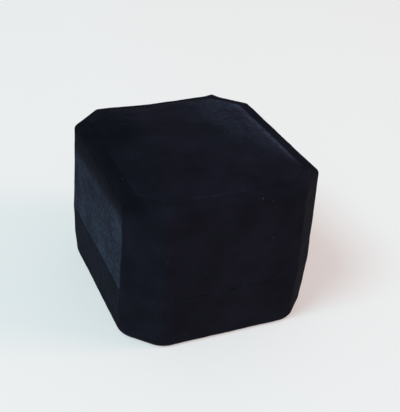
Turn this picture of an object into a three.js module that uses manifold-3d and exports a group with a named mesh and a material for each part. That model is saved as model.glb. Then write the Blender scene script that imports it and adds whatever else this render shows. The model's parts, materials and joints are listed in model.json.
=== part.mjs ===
// A hinged velvet ring box with cut corners: a low tapered base, a tall lid with a padded top, and a ring
// cushion of two velvet rolls with a slot between them. Millimetres, +Z up, the front faces -Y, and the
// origin is the middle of the underside. Every part is drawn in the closed box's own frame.
import * as THREE from "three";
import { mergeVertices } from "three/addons/utils/BufferGeometryUtils.js";
import Module from "manifold-3d";

// Driving dimensions.
const WIDTH = 52; // side to side, at the seam, over the velvet
const DEPTH = 57; // front to back, at the seam, over the velvet
const BASE_HEIGHT = 14.5; // underside to the seam
const LID_HEIGHT = 25; // seam to the flat border on top
const CROWN = 2.8; // the padded top panel's middle above that border
const CORNER_CUT = 8.3; // leg of each cut corner in plan
const EDGE_ROUND = 2; // radius of the eight upright edges
const BASE_TAPER = 0.03; // how much each base wall leans in per unit going down
const LID_TAPER = 0.026; // how much each lid wall leans in per unit going up
const SEAM_GAP = 0.3; // between the closed lid and the base
const GLUE = 0.1; // left between two layers that are glued together
const VELVET = 0.7;
const SHELL = 1.6; // moulded wall
const CARD = 0.8;
const SATIN = 0.4;
const LIP = 2.6; // how far the collar stands above the seam, inside the lid
const BORDER = 3.4; // flat velvet border round the padded top panel
const SLOT = 4.6; // between the two rolls of the ring cushion

// Hinge.
const HINGE_LENGTH = 30;
const KNUCKLES = 5;
const KNUCKLE_R = 0.9;
const BORE_R = 0.55;
const PIN_R = 0.45;
const LEAF = 0.4; // sheet steel
const LEAF_HEIGHT = 7; // from the axis to the leaf's far edge
const AXIS_INSET = 1.5; // hinge axis in front of the outer back face
const BEVEL_DEG = 50; // each half's back edge is bevelled this far from the seam's plane
const RIVET_X = 9;
const RIVET_Z = 4.4; // rivet row from the axis
const RIVET_R = 0.8;
const RIVET_HEAD_R = 1.5;
const RIVET_HEAD = 0.4;
const KNUCKLE_GAP = 0.3;
const SPRING = 0.3;
const SPRING_WIDTH = 8;
const SPRING_BOW = 1.9; // how far the spring bows into the box
const SPRING_FOOT = 4.2; // where its feet start, from the axis
const SPRING_END = 6.2;

// Clearances and small roundings.
const RUNNING = 0.3; // between parts that slide past or stand inside each other
const KNUCKLE_CLEAR = 0.35; // room round the knuckles
const WINDOW_CLEAR = 0.8; // room past the leaves' ends and far edges
const WHISKER = 0.01; // how far a cut overshoots, so that no film is left
const HEM = 0.45; // rounding where the velvet folds over a rim
const FOLD = 0.3; // and at its inner edge
const BORDER_ROUND = 1.1; // rounding at the top border's outer edge
const FOOT_ROUND = 1; // and at the base's lower edge
const SHELL_BEVEL = 0.8; // on the shells' closed edges
const ROUND_MID = 1 - Math.SQRT1_2; // the middle of a quarter round, in radii from its corner
const ROUND_SIDES = 16;

// Heights.
const SEAM = BASE_HEIGHT;
const BORDER_Z = SEAM + LID_HEIGHT;
const BASE_RIM = SEAM - SEAM_GAP / 2;
const LID_RIM = SEAM + SEAM_GAP / 2;
const COVER = 0.5; // sheet under the base
const COVER_INSET = 1.6;
const FLOOR_Z = COVER + 2 * GLUE + VELVET; // underside of the base shell
const FLOOR_TOP = FLOOR_Z + SHELL;
const CEILING_Z = BORDER_Z - VELVET - GLUE; // top of the lid shell
const CEILING_UNDER = CEILING_Z - SHELL;
const ROLL_BOTTOM = FLOOR_TOP + CARD + 2 * GLUE;
const ROLL_TOP = SEAM + 0.5;
const TURN_IN = 4; // velvet turned down inside each rim
const FLAP = 6; // velvet turned under the base and over the lid's top
const HINGE_Y = DEPTH / 2 - AXIS_INSET;

// Depth of each layer below the outer velvet surface, from the outside in.
const SHELL_OUT = VELVET + GLUE;
const SHELL_IN = SHELL_OUT + SHELL;
const TURN_OUT = SHELL_IN + GLUE;
const TURN_INNER = TURN_OUT + VELVET;
const COLLAR_SKIN = 0.3;
const COLLAR_ROUND = 0.25;
const COLLAR_HEM = 5.5; // velvet's outer hem below the seam
const COLLAR_OUT = TURN_INNER + RUNNING;
const COLLAR_BOARD_OUT = COLLAR_OUT + COLLAR_SKIN + GLUE;
const COLLAR_BOARD_IN = COLLAR_BOARD_OUT + CARD;
const COLLAR_IN = COLLAR_BOARD_IN + GLUE + COLLAR_SKIN;
const CUSHION_OUT = COLLAR_IN + RUNNING;

const COLOURS = {
  velvet: [0x0d0f18, 0.95, 0],
  satin: [0x15182a, 0.45, 0],
  shell: [0x16171c, 0.55, 0],
  card: [0x6e6557, 0.9, 0],
  foam: [0x8d8d92, 0.95, 0],
  steel: [0xa8abb0, 0.35, 1],
  cover: [0x0c0d11, 0.9, 0],
};

const wasm = await Module();
wasm.setup();

// A closed geometry as a manifold-3d solid, and back.
function toSolid(geometry) {
  const bare = geometry.clone();
  bare.deleteAttribute("normal");
  bare.deleteAttribute("uv");
  const merged = mergeVertices(bare, 1e-4);
  return new wasm.Manifold(
    new wasm.Mesh({
      numProp: 3,
      vertProperties: merged.attributes.position.array,
      triVerts: new Uint32Array(merged.index.array),
    }),
  );
}

function toGeometry(solid) {
  const mesh = solid.getMesh();
  const geometry = new THREE.BufferGeometry();
  geometry.setAttribute("position", new THREE.BufferAttribute(mesh.vertProperties, 3));
  geometry.setIndex(new THREE.BufferAttribute(mesh.triVerts, 1));
  return geometry;
}

const cut = (body, ...tools) => tools.reduce((left, tool) => left.subtract(toSolid(tool)), toSolid(body));
const join = (...bodies) => bodies.map(toSolid).reduce((left, right) => left.add(right));

// The box's plan, a rectangle with cut and rounded corners, shrunk evenly by inset.
function plan(inset) {
  const x = WIDTH / 2 - inset;
  const y = DEPTH / 2 - inset;
  const leg = CORNER_CUT - inset * (2 - Math.SQRT2);
  const corners = [
    [x, leg - y],
    [x, y - leg],
    [x - leg, y],
    [leg - x, y],
    [-x, y - leg],
    [-x, leg - y],
    [leg - x, -y],
    [x - leg, -y],
  ].map(([px, py]) => new THREE.Vector2(px, py));
  const radius = Math.max(EDGE_ROUND - inset, 0.4);
  const reach = radius * Math.tan(Math.PI / 8);
  return corners.flatMap((corner, i) => {
    const before = corners[(i + 7) % 8];
    const after = corners[(i + 1) % 8];
    const start = corner.clone().add(before.clone().sub(corner).setLength(reach));
    const end = corner.clone().add(after.clone().sub(corner).setLength(reach));
    return new THREE.QuadraticBezierCurve(start, corner, end).getPoints(2);
  });
}

// A skin through a list of plan rings [inset, z, scale]. Capped, it is a solid between its first and last
// ring; otherwise the last ring joins the first, as in a tube bent round the box.
function rings(profile, capped) {
  const loops = profile.map(([inset, z, scale = 1]) =>
    plan(inset).map((p) => new THREE.Vector3(p.x * scale, p.y * scale, z)),
  );
  const sides = loops[0].length;
  const triangles = [];
  const spans = capped ? loops.length - 1 : loops.length;
  for (let i = 0; i < spans; i++) {
    const low = i * sides;
    const high = ((i + 1) % loops.length) * sides;
    for (let j = 0; j < sides; j++) {
      const k = (j + 1) % sides;
      triangles.push(low + j, low + k, high + k, low + j, high + k, high + j);
    }
  }
  if (capped) {
    const last = (loops.length - 1) * sides;
    for (let j = 1; j < sides - 1; j++) {
      triangles.push(0, j + 1, j, last, last + j, last + j + 1);
    }
  }
  const geometry = new THREE.BufferGeometry().setFromPoints(loops.flat());
  geometry.setIndex(triangles);
  return volume(geometry) < 0 ? turnedOut(geometry) : geometry;
}

function volume(geometry) {
  const points = geometry.attributes.position;
  const [a, b, c] = [new THREE.Vector3(), new THREE.Vector3(), new THREE.Vector3()];
  let sum = 0;
  for (let i = 0; i < geometry.index.count; i += 3) {
    a.fromBufferAttribute(points, geometry.index.getX(i));
    b.fromBufferAttribute(points, geometry.index.getX(i + 1));
    c.fromBufferAttribute(points, geometry.index.getX(i + 2));
    sum += a.dot(b.cross(c)) / 6;
  }
  return sum;
}

function turnedOut(geometry) {
  const index = geometry.index.array;
  for (let i = 0; i < index.length; i += 3) {
    [index[i + 1], index[i + 2]] = [index[i + 2], index[i + 1]];
  }
  return geometry;
}

const solidRings = (profile) => rings(profile, true);
const closedRings = (profile) => rings(profile, false);

// Profile points below the seam and above it: depth is measured square to the leaning outer wall.
const onBase = (depth, z) => [depth + BASE_TAPER * (SEAM - z), z];
const onLid = (depth, z) => [depth + LID_TAPER * (z - SEAM), z];

function box(x0, x1, y0, y1, z0, z1) {
  const geometry = new THREE.BoxGeometry(x1 - x0, y1 - y0, z1 - z0);
  return geometry.translate((x0 + x1) / 2, (y0 + y1) / 2, (z0 + z1) / 2);
}

// A cylinder along X, about a line parallel to the hinge axis.
function rod(radius, x0, x1, sides = 20) {
  const geometry = new THREE.CylinderGeometry(radius, radius, x1 - x0, sides);
  return geometry.rotateZ(Math.PI / 2).translate((x0 + x1) / 2, HINGE_Y, SEAM);
}

// An outline in the YZ plane, run along X.
function alongX(points, x0, x1) {
  const shape = new THREE.Shape(points.map(([y, z]) => new THREE.Vector2(y, z)));
  const geometry = new THREE.ExtrudeGeometry(shape, { depth: x1 - x0, bevelEnabled: false, steps: 1 });
  // The shape's X and Y become the box's Y and Z, and the extrusion runs along X.
  const turn = new THREE.Matrix4().makeBasis(
    new THREE.Vector3(0, 1, 0),
    new THREE.Vector3(0, 0, 1),
    new THREE.Vector3(1, 0, 0),
  );
  return geometry.applyMatrix4(turn).translate(x0, 0, 0);
}

// Room for the hinge: the bevel that lets the lid swing back, and the pocket for the knuckles.
function backBevel(side) {
  const reach = 4 * AXIS_INSET;
  const rise = reach * Math.tan(THREE.MathUtils.degToRad(BEVEL_DEG)) * side;
  const back = HINGE_Y + reach;
  const apex = [HINGE_Y, SEAM];
  const outline = [apex, [back, SEAM - side * WHISKER], [back, SEAM + rise]];
  return alongX(outline, -WIDTH, WIDTH);
}

function knucklePocket() {
  const half = HINGE_LENGTH / 2 + KNUCKLE_CLEAR;
  return rod(KNUCKLE_R + KNUCKLE_CLEAR, -half, half, ROUND_SIDES);
}

// The recess in a back wall's inner face that the leaf is let into, with the rivets' holes.
function leafRecess(side) {
  const reach = LEAF_HEIGHT + RUNNING;
  const half = HINGE_LENGTH / 2 + RUNNING;
  const face = DEPTH / 2 - SHELL_IN;
  return box(-half, half, face - SHELL, face + LEAF + GLUE, ...span(side, 0, reach));
}

const span = (side, near, far) => (side > 0 ? [SEAM + near, SEAM + far] : [SEAM - far, SEAM - near]);

const rivetHoles = (side) =>
  [-RIVET_X, RIVET_X].map((x) => {
    const hole = new THREE.CylinderGeometry(RIVET_R + GLUE, RIVET_R + GLUE, 4 * SHELL, ROUND_SIDES);
    return hole.translate(x, DEPTH / 2 - SHELL_IN, SEAM + side * RIVET_Z);
  });

// The opening cut through the turned-in velvet and the satin strip where the hinge's leaf lies.
function hingeWindow(side, near) {
  const half = HINGE_LENGTH / 2 + WINDOW_CLEAR;
  const far = TURN_INNER + 3 * CARD;
  const reach = LEAF_HEIGHT + WINDOW_CLEAR;
  return box(-half, half, DEPTH / 2 - far, DEPTH / 2 - near, ...span(side, -SEAM_GAP, reach));
}

function baseShell() {
  const tray = solidRings([
    onBase(SHELL_OUT + SHELL_BEVEL, FLOOR_Z),
    onBase(SHELL_OUT, FLOOR_Z + SHELL_BEVEL),
    onBase(SHELL_OUT, BASE_RIM - VELVET - GLUE),
    onBase(SHELL_IN, BASE_RIM - VELVET - GLUE),
    onBase(SHELL_IN, FLOOR_TOP),
  ]);
  return toGeometry(cut(tray, backBevel(-1), knucklePocket(), leafRecess(-1), ...rivetHoles(-1)));
}

function lidShell() {
  const cap = solidRings([
    onLid(SHELL_OUT + SHELL_BEVEL, CEILING_Z),
    onLid(SHELL_OUT, CEILING_Z - SHELL_BEVEL),
    onLid(SHELL_OUT, LID_RIM + VELVET + GLUE),
    onLid(SHELL_IN, LID_RIM + VELVET + GLUE),
    onLid(SHELL_IN, CEILING_UNDER),
  ]);
  return toGeometry(cut(cap, backBevel(1), knucklePocket(), leafRecess(1), ...rivetHoles(1)));
}

// One sheet of velvet: under the base's edge, up its walls, over the rim and down inside. Its lower edge
// stands down round the cover, nearly to the surface that the box rests on.
function baseVelvet() {
  const under = COVER + GLUE;
  const foot = GLUE;
  const wrap = closedRings([
    onBase(FLAP, under),
    onBase(COVER_INSET - GLUE, under),
    onBase(COVER_INSET - 2 * GLUE, foot),
    onBase(FOOT_ROUND, foot),
    onBase(FOOT_ROUND * ROUND_MID, foot + FOOT_ROUND * ROUND_MID),
    onBase(0, foot + FOOT_ROUND),
    onBase(0, BASE_RIM - HEM),
    onBase(HEM, BASE_RIM),
    onBase(TURN_INNER - FOLD, BASE_RIM),
    onBase(TURN_INNER, BASE_RIM - FOLD),
    onBase(TURN_INNER, BASE_RIM - TURN_IN),
    onBase(TURN_OUT, BASE_RIM - TURN_IN),
    onBase(TURN_OUT, BASE_RIM - VELVET),
    onBase(VELVET, BASE_RIM - VELVET),
    onBase(VELVET, FLOOR_Z + SHELL_BEVEL - GLUE),
    onBase(VELVET + SHELL_BEVEL - GLUE, FLOOR_Z - GLUE),
    onBase(FLAP, FLOOR_Z - GLUE),
  ]);
  return toGeometry(cut(wrap, backBevel(-1), hingeWindow(-1, VELVET + GLUE / 2)));
}

// The lid's velvet: over the top border's edge, down the walls, round the rim and up inside.
function lidVelvet() {
  const wrap = closedRings([
    onLid(BORDER + FLAP, BORDER_Z),
    onLid(BORDER_ROUND, BORDER_Z),
    onLid(BORDER_ROUND * ROUND_MID, BORDER_Z - BORDER_ROUND * ROUND_MID),
    onLid(0, BORDER_Z - BORDER_ROUND),
    onLid(0, LID_RIM + HEM),
    onLid(HEM, LID_RIM),
    onLid(TURN_INNER - FOLD, LID_RIM),
    onLid(TURN_INNER, LID_RIM + FOLD),
    onLid(TURN_INNER, LID_RIM + TURN_IN),
    onLid(TURN_OUT, LID_RIM + TURN_IN),
    onLid(TURN_OUT, LID_RIM + VELVET),
    onLid(VELVET, LID_RIM + VELVET),
    onLid(VELVET, CEILING_Z - SHELL_BEVEL + GLUE),
    onLid(VELVET + SHELL_BEVEL - GLUE, CEILING_Z + GLUE),
    onLid(BORDER + FLAP, CEILING_Z + GLUE),
  ]);
  return toGeometry(cut(wrap, backBevel(1), hingeWindow(1, VELVET + GLUE / 2)));
}

// A pad's dome from its edge to its middle: z rises from edge by rise, times direction up or down.
const DOME_SCALES = [1, 0.9, 0.72, 0.5, 0.25];
const DOME_POWER = 2.2; // a little fuller than a parabola

function dome(inset, edge, rise, direction) {
  return DOME_SCALES.map((scale) => [inset, edge + direction * rise * (1 - scale ** DOME_POWER), scale]);
}

// The padded panel glued inside the lid's top border: a card, a foam crown and a velvet skin over both.
const PANEL = BORDER + LID_TAPER * LID_HEIGHT;
const PANEL_BOTTOM = BORDER_Z + GLUE;
const PANEL_ROLL = 0.8; // radius of the panel's rolled edge
const PANEL_RISE = CROWN - PANEL_ROLL - GLUE;
const PANEL_SKIN = 0.4;
const PANEL_CARD = 0.3;

function topPanelVelvet() {
  const shoulder = PANEL + PANEL_ROLL;
  const outer = dome(shoulder, PANEL_BOTTOM + PANEL_ROLL, PANEL_RISE, 1).reverse();
  const inner = dome(shoulder + PANEL_SKIN, PANEL_BOTTOM + PANEL_ROLL - PANEL_SKIN, PANEL_RISE, 1);
  return solidRings([
    ...outer,
    [PANEL + PANEL_ROLL * ROUND_MID, PANEL_BOTTOM + PANEL_ROLL * (1 - ROUND_MID)],
    [PANEL, PANEL_BOTTOM + PANEL_ROLL * ROUND_MID],
    [PANEL, PANEL_BOTTOM],
    [PANEL + PANEL_SKIN, PANEL_BOTTOM],
    ...inner,
  ]);
}

function topPanelCard() {
  const inset = PANEL + PANEL_ROLL + PANEL_SKIN;
  return solidRings([
    [inset, PANEL_BOTTOM],
    [inset, PANEL_BOTTOM + PANEL_CARD],
  ]);
}

function topPanelFoam() {
  const inset = PANEL + PANEL_ROLL + PANEL_SKIN + GLUE;
  const bottom = PANEL_BOTTOM + PANEL_CARD + GLUE;
  const crown = dome(inset, bottom - GLUE, PANEL_RISE, 1).slice(1);
  return solidRings([[inset, bottom], ...crown]);
}

// The lid's satin lining: a card and puffed foam under the ceiling, satin over them, and a strip round the
// walls.
const LINING = SHELL_IN + GLUE;
const LINING_TOP = CEILING_UNDER - GLUE;
const LINING_PAD = LINING + CARD + GLUE + LID_TAPER * LID_HEIGHT;
const LINING_EDGE = 1.6; // satin's rolled edge
const LINING_PUFF = 2.6;
const LINING_SHOULDER = 0.5; // how far the rolled edge draws in

function liningSatin() {
  const edge = LINING_TOP - LINING_EDGE;
  const shoulder = LINING_PAD + LINING_SHOULDER;
  const outer = dome(shoulder, edge, LINING_PUFF, -1).reverse();
  const inner = dome(shoulder + SATIN, edge + SATIN, LINING_PUFF, -1);
  return solidRings([
    ...outer,
    [LINING_PAD, edge + LINING_SHOULDER],
    [LINING_PAD, LINING_TOP],
    [LINING_PAD + SATIN, LINING_TOP],
    ...inner,
  ]);
}

function liningCard() {
  const inset = LINING_PAD + LINING_SHOULDER + SATIN;
  return solidRings([
    [inset, LINING_TOP],
    [inset, LINING_TOP - CARD],
  ]);
}

function liningFoam() {
  const inset = LINING_PAD + LINING_SHOULDER + SATIN + GLUE;
  const top = LINING_TOP - CARD - GLUE;
  const crown = dome(inset, LINING_TOP - LINING_EDGE + SATIN + GLUE, LINING_PUFF, -1);
  return solidRings([[inset, top], ...crown]);
}

function liningStrip() {
  const bottom = LID_RIM + TURN_IN + RUNNING;
  const top = LINING_TOP - GLUE;
  const strip = closedRings([
    onLid(LINING, bottom),
    onLid(LINING, top),
    onLid(LINING + CARD - GLUE, top),
    onLid(LINING + CARD - GLUE, bottom),
  ]);
  return toGeometry(cut(strip, hingeWindow(1, SHELL_IN)));
}

// The collar: a card ring standing on the base's floor, with velvet folded over its upper edge and down
// inside.
function collarBoard() {
  const top = SEAM + LIP - COLLAR_SKIN - GLUE;
  const ring = closedRings([
    [COLLAR_BOARD_OUT, FLOOR_TOP + GLUE],
    [COLLAR_BOARD_OUT, top],
    [COLLAR_BOARD_IN, top],
    [COLLAR_BOARD_IN, FLOOR_TOP + GLUE],
  ]);
  return toGeometry(cut(ring, collarNotch(COLLAR_SKIN + GLUE)));
}

function collarVelvet() {
  const top = SEAM + LIP;
  const outerHem = SEAM - COLLAR_HEM;
  const innerHem = FLOOR_TOP + GLUE;
  const fold = closedRings([
    [COLLAR_OUT, outerHem],
    [COLLAR_OUT, top - COLLAR_ROUND],
    [COLLAR_OUT + COLLAR_ROUND, top],
    [COLLAR_IN - COLLAR_ROUND, top],
    [COLLAR_IN, top - COLLAR_ROUND],
    [COLLAR_IN, innerHem],
    [COLLAR_IN - COLLAR_SKIN, innerHem],
    [COLLAR_IN - COLLAR_SKIN, top - COLLAR_SKIN],
    [COLLAR_OUT + COLLAR_SKIN, top - COLLAR_SKIN],
    [COLLAR_OUT + COLLAR_SKIN, outerHem],
  ]);
  return toGeometry(cut(fold, collarNotch(0)));
}

// The collar stops on each side of the hinge, so that the spring can bow into the box.
function collarNotch(extra) {
  const half = HINGE_LENGTH / 2 + WINDOW_CLEAR + extra;
  const inner = DEPTH / 2 - COLLAR_IN - CARD;
  return box(-half, half, inner, DEPTH / 2, SEAM - LEAF_HEIGHT - WINDOW_CLEAR, SEAM + 2 * LIP);
}

// The ring cushion: two foam rolls in velvet, one on each side of the slot, on a tray of dark faced card.
const ROLL_SKIN = 0.5;
const ROLL_ROUND = 4; // along the slot
const ROLL_EDGE = 1.6; // round the other edges

function rollOutline(side, grow) {
  const near = side * (SLOT / 2 - grow);
  const far = side * DEPTH;
  const top = ROLL_TOP + grow;
  const bottom = ROLL_BOTTOM + 2 * grow;
  const arc = new THREE.QuadraticBezierCurve(
    new THREE.Vector2(near, top - ROLL_ROUND),
    new THREE.Vector2(near, top),
    new THREE.Vector2(near + side * ROLL_ROUND, top),
  );
  const edge = arc.getPoints(5).map((p) => [p.x, p.y]);
  return [[near, bottom], ...edge, [far, top], [far, bottom]];
}

// A roll's block. A negative grow shrinks it but sinks its bottom, so that it hollows out a skin open below.
function rollBlock(side, grow) {
  const bar = alongX(rollOutline(side, grow), -WIDTH, WIDTH);
  const inset = CUSHION_OUT - grow;
  const top = ROLL_TOP + grow;
  const walls = solidRings([
    [inset, 0],
    [inset, top - ROLL_EDGE],
    [inset + ROLL_EDGE * ROUND_MID, top - ROLL_EDGE * ROUND_MID],
    [inset + ROLL_EDGE, top + WHISKER],
  ]);
  return toSolid(bar).intersect(toSolid(walls));
}

function rollVelvet(side) {
  return toGeometry(rollBlock(side, 0).subtract(rollBlock(side, -ROLL_SKIN)));
}

function rollFoam(side) {
  const below = box(-WIDTH, WIDTH, -DEPTH, DEPTH, 0, ROLL_BOTTOM);
  return toGeometry(rollBlock(side, -ROLL_SKIN - GLUE).subtract(toSolid(below)));
}

function cushionTray() {
  return solidRings([
    [CUSHION_OUT, FLOOR_TOP + GLUE],
    [CUSHION_OUT, FLOOR_TOP + GLUE + CARD],
  ]);
}

const bottomCover = () =>
  solidRings([
    onBase(COVER_INSET, 0),
    onBase(COVER_INSET, COVER),
  ]);

function knuckleSpan(i) {
  const length = (HINGE_LENGTH - (KNUCKLES - 1) * KNUCKLE_GAP) / KNUCKLES;
  const start = -HINGE_LENGTH / 2 + i * (length + KNUCKLE_GAP);
  return [start, start + length];
}

// A hinge leaf: a sheet steel plate with rolled knuckles. side is -1 below the axis and +1 above it.
function hingeLeaf(side) {
  const inner = HINGE_Y - KNUCKLE_R;
  const clear = KNUCKLE_R + KNUCKLE_CLEAR;
  const half = HINGE_LENGTH / 2;
  const parts = [box(-half, half, inner, inner + LEAF, ...span(side, clear, LEAF_HEIGHT))];
  for (let i = 0; i < KNUCKLES; i++) {
    if ((i % 2 === 0) === (side < 0)) {
      const [x0, x1] = knuckleSpan(i);
      parts.push(rod(KNUCKLE_R, x0, x1));
      parts.push(box(x0, x1, inner, inner + LEAF, ...span(side, 0, clear + LEAF / 2)));
    }
  }
  const bore = toSolid(rod(BORE_R, -HINGE_LENGTH, HINGE_LENGTH));
  const holes = rivetHoles(side).map(toSolid);
  return toGeometry(holes.reduce((left, hole) => left.subtract(hole), join(...parts).subtract(bore)));
}

const hingePin = () => rod(PIN_R, -HINGE_LENGTH / 2, HINGE_LENGTH / 2, ROUND_SIDES);

// A flat-headed rivet whose head is on the leaf and whose shank goes into the wall.
function rivet(side, x) {
  const face = DEPTH / 2 - SHELL_IN - GLUE / 2;
  const length = SHELL - GLUE;
  const profile = [
    [0, -RIVET_HEAD],
    [RIVET_HEAD_R - RIVET_HEAD / 2, -RIVET_HEAD],
    [RIVET_HEAD_R, -RIVET_HEAD / 2],
    [RIVET_HEAD_R, 0],
    [RIVET_R, 0],
    [RIVET_R, length],
    [0, length],
  ].map(([r, y]) => new THREE.Vector2(r, y));
  const geometry = new THREE.LatheGeometry(profile, ROUND_SIDES);
  return geometry.translate(x, face, SEAM + side * RIVET_Z);
}

// The snap spring: a flat steel strip bowed across the hinge's inner side, a foot on each leaf.
function snapSpring() {
  const foot = DEPTH / 2 - SHELL_IN - GLUE - SPRING;
  const half = [
    [foot - SPRING_BOW / 4, 0.7 * SPRING_FOOT],
    [foot, SPRING_FOOT],
    [foot, SPRING_END],
  ];
  const mirrored = half.map(([y, z]) => [y, -z]).reverse();
  const line = new THREE.CatmullRomCurve3(
    [...mirrored, [foot - SPRING_BOW, 0], ...half].map(([y, z]) => new THREE.Vector3(y, SEAM + z, 0)),
  );
  const steps = 20;
  const near = [];
  const far = [];
  for (let i = 0; i <= steps; i++) {
    const point = line.getPoint(i / steps);
    const tangent = line.getTangent(i / steps);
    near.push([point.x - (tangent.y * SPRING) / 2, point.y + (tangent.x * SPRING) / 2]);
    far.push([point.x + (tangent.y * SPRING) / 2, point.y - (tangent.x * SPRING) / 2]);
  }
  return alongX([...far, ...near.reverse()], -SPRING_WIDTH / 2, SPRING_WIDTH / 2);
}

// The velvet strip over the knuckles at the back, in the groove between the two bevels.
const COVER_PLAY_DEG = 4; // between the strip's edges and the bevels

function hingeCover() {
  const reach = THREE.MathUtils.degToRad(BEVEL_DEG - COVER_PLAY_DEG);
  const steps = 8;
  const arc = (radius, from, to) =>
    Array.from({ length: steps + 1 }, (_, i) => {
      const angle = from + ((to - from) * i) / steps;
      return [HINGE_Y + radius * Math.cos(angle), SEAM + radius * Math.sin(angle)];
    });
  const half = WIDTH / 2 - CORNER_CUT - 2 * RUNNING;
  const outline = [...arc(AXIS_INSET - GLUE / 2, -reach, reach), ...arc(KNUCKLE_R + GLUE, reach, -reach)];
  return alongX(outline, -half, half);
}

function mesh(name, geometry, [color, roughness, metalness]) {
  const part = new THREE.Mesh(geometry, new THREE.MeshStandardMaterial({ color, roughness, metalness }));
  part.name = name;
  return part;
}

const base = new THREE.Group();
base.add(
  mesh("bottom_cover", bottomCover(), COLOURS.cover),
  mesh("base_shell", baseShell(), COLOURS.shell),
  mesh("base_velvet", baseVelvet(), COLOURS.velvet),
  mesh("collar_board", collarBoard(), COLOURS.card),
  mesh("collar_velvet", collarVelvet(), COLOURS.velvet),
  mesh("cushion_tray", cushionTray(), COLOURS.cover),
  mesh("hinge_leaf_base", hingeLeaf(-1), COLOURS.steel),
  mesh("hinge_pin", hingePin(), COLOURS.steel),
  mesh("snap_spring", snapSpring(), COLOURS.steel),
  mesh("hinge_cover", hingeCover(), COLOURS.velvet),
);
for (const [place, side] of [["front", -1], ["back", 1]]) {
  base.add(mesh(`roll_velvet_${place}`, rollVelvet(side), COLOURS.velvet));
  base.add(mesh(`roll_foam_${place}`, rollFoam(side), COLOURS.foam));
}

const lid = new THREE.Group();
lid.add(
  mesh("lid_shell", lidShell(), COLOURS.shell),
  mesh("lid_velvet", lidVelvet(), COLOURS.velvet),
  mesh("top_panel_card", topPanelCard(), COLOURS.card),
  mesh("top_panel_foam", topPanelFoam(), COLOURS.foam),
  mesh("top_panel_velvet", topPanelVelvet(), COLOURS.velvet),
  mesh("lid_lining_card", liningCard(), COLOURS.card),
  mesh("lid_lining_foam", liningFoam(), COLOURS.foam),
  mesh("lid_lining_satin", liningSatin(), COLOURS.satin),
  mesh("lid_lining_strip", liningStrip(), COLOURS.satin),
  mesh("hinge_leaf_lid", hingeLeaf(1), COLOURS.steel),
);
for (const [place, x] of [["left", -RIVET_X], ["right", RIVET_X]]) {
  base.add(mesh(`rivet_base_${place}`, rivet(-1, x), COLOURS.steel));
  lid.add(mesh(`rivet_lid_${place}`, rivet(1, x), COLOURS.steel));
}

const ringBox = new THREE.Group();
ringBox.add(base, lid);

export default ringBox;
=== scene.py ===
"""Looks of the hinged velvet ring box: fabrics, padding, steel and card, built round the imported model."""
import json
import math

import bpy
import numpy as np
from mathutils import Matrix, Vector, noise


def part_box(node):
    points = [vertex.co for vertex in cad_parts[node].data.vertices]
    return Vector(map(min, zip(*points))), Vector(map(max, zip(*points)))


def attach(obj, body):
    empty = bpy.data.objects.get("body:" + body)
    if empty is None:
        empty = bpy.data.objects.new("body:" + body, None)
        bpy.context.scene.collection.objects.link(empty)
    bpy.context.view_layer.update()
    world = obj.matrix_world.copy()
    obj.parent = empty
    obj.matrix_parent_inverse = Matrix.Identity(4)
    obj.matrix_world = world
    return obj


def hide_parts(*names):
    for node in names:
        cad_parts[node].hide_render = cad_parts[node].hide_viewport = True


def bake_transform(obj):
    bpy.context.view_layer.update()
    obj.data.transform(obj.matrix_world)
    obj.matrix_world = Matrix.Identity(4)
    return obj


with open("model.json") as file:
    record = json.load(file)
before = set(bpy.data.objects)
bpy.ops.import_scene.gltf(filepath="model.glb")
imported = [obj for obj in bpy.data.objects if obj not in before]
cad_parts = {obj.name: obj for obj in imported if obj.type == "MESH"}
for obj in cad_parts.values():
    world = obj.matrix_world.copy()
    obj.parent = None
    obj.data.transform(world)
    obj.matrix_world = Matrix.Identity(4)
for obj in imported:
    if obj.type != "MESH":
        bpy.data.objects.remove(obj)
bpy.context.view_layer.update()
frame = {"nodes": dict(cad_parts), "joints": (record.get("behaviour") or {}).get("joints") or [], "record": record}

MM = 0.001

# --- Driving dimensions, in metres ------------------------------------------------------------------
# The frame gives the pieces' places. The rest are the box's own design sizes.
_, HINGE_Y, SEAM = frame["joints"][0]["pos_m"]
base_low, base_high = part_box("base_velvet")
lid_low, lid_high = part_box("lid_velvet")
_, panel_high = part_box("top_panel_velvet")
HALF_X, HALF_Y = base_high.x, -base_low.y
BORDER_Z = lid_high.z

# The plan: its cut corners, the rounding between its sides, and how much the walls lean in.
CORNER_CUT = 8.3 * MM
PANEL_CUT = 5.9 * MM
EDGE_ROUND = 2.0 * MM
LEAST_ROUND = 0.4 * MM
FOOT_CORNER_ROUND = 7.0 * MM
FOOT_CORNER_LOW, FOOT_CORNER_HIGH = 1 * MM, 7 * MM
LID_LEAN = 0.026
BASE_LEAN = 0.03

# The velvet: its thickness, its pile's height past the rim, and where it turns in behind the shell's
# wall, whose inner face lies SHELL_IN deep.
VELVET = 0.7 * MM
PILE = 0.13 * MM
SHELL_IN = 2.4 * MM
TURN_OUT = SHELL_IN + 0.1 * MM
TURN_IN = TURN_OUT + VELVET
TURN_DEPTH = 4 * MM
TURN_ROUND = 0.3 * MM
HEM_ROUND = 0.22 * MM

# The hinge: half the width of its window in the walls, and the slope of the rims behind its axis.
WINDOW_HALF = 15.8 * MM
BEVEL = math.tan(math.radians(50))

# The walls that get painted sheen and painted shade face these directions.
LEFT = (-1, 0, 0)
FRONT_RIGHT = (1, -1, 0)

# Mesh steps along the plan's sides, along its cut corners, and round each edge between them.
LONG_STEPS = 44
SHORT_STEPS = 12
CORNER_STEPS = 7


# --- Mesh helpers -----------------------------------------------------------------------------------
def toward(point, goal, distance):
    """The place that lies distance from point on the way to goal."""
    return point + distance * (goal - point) / np.linalg.norm(goal - point)


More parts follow.
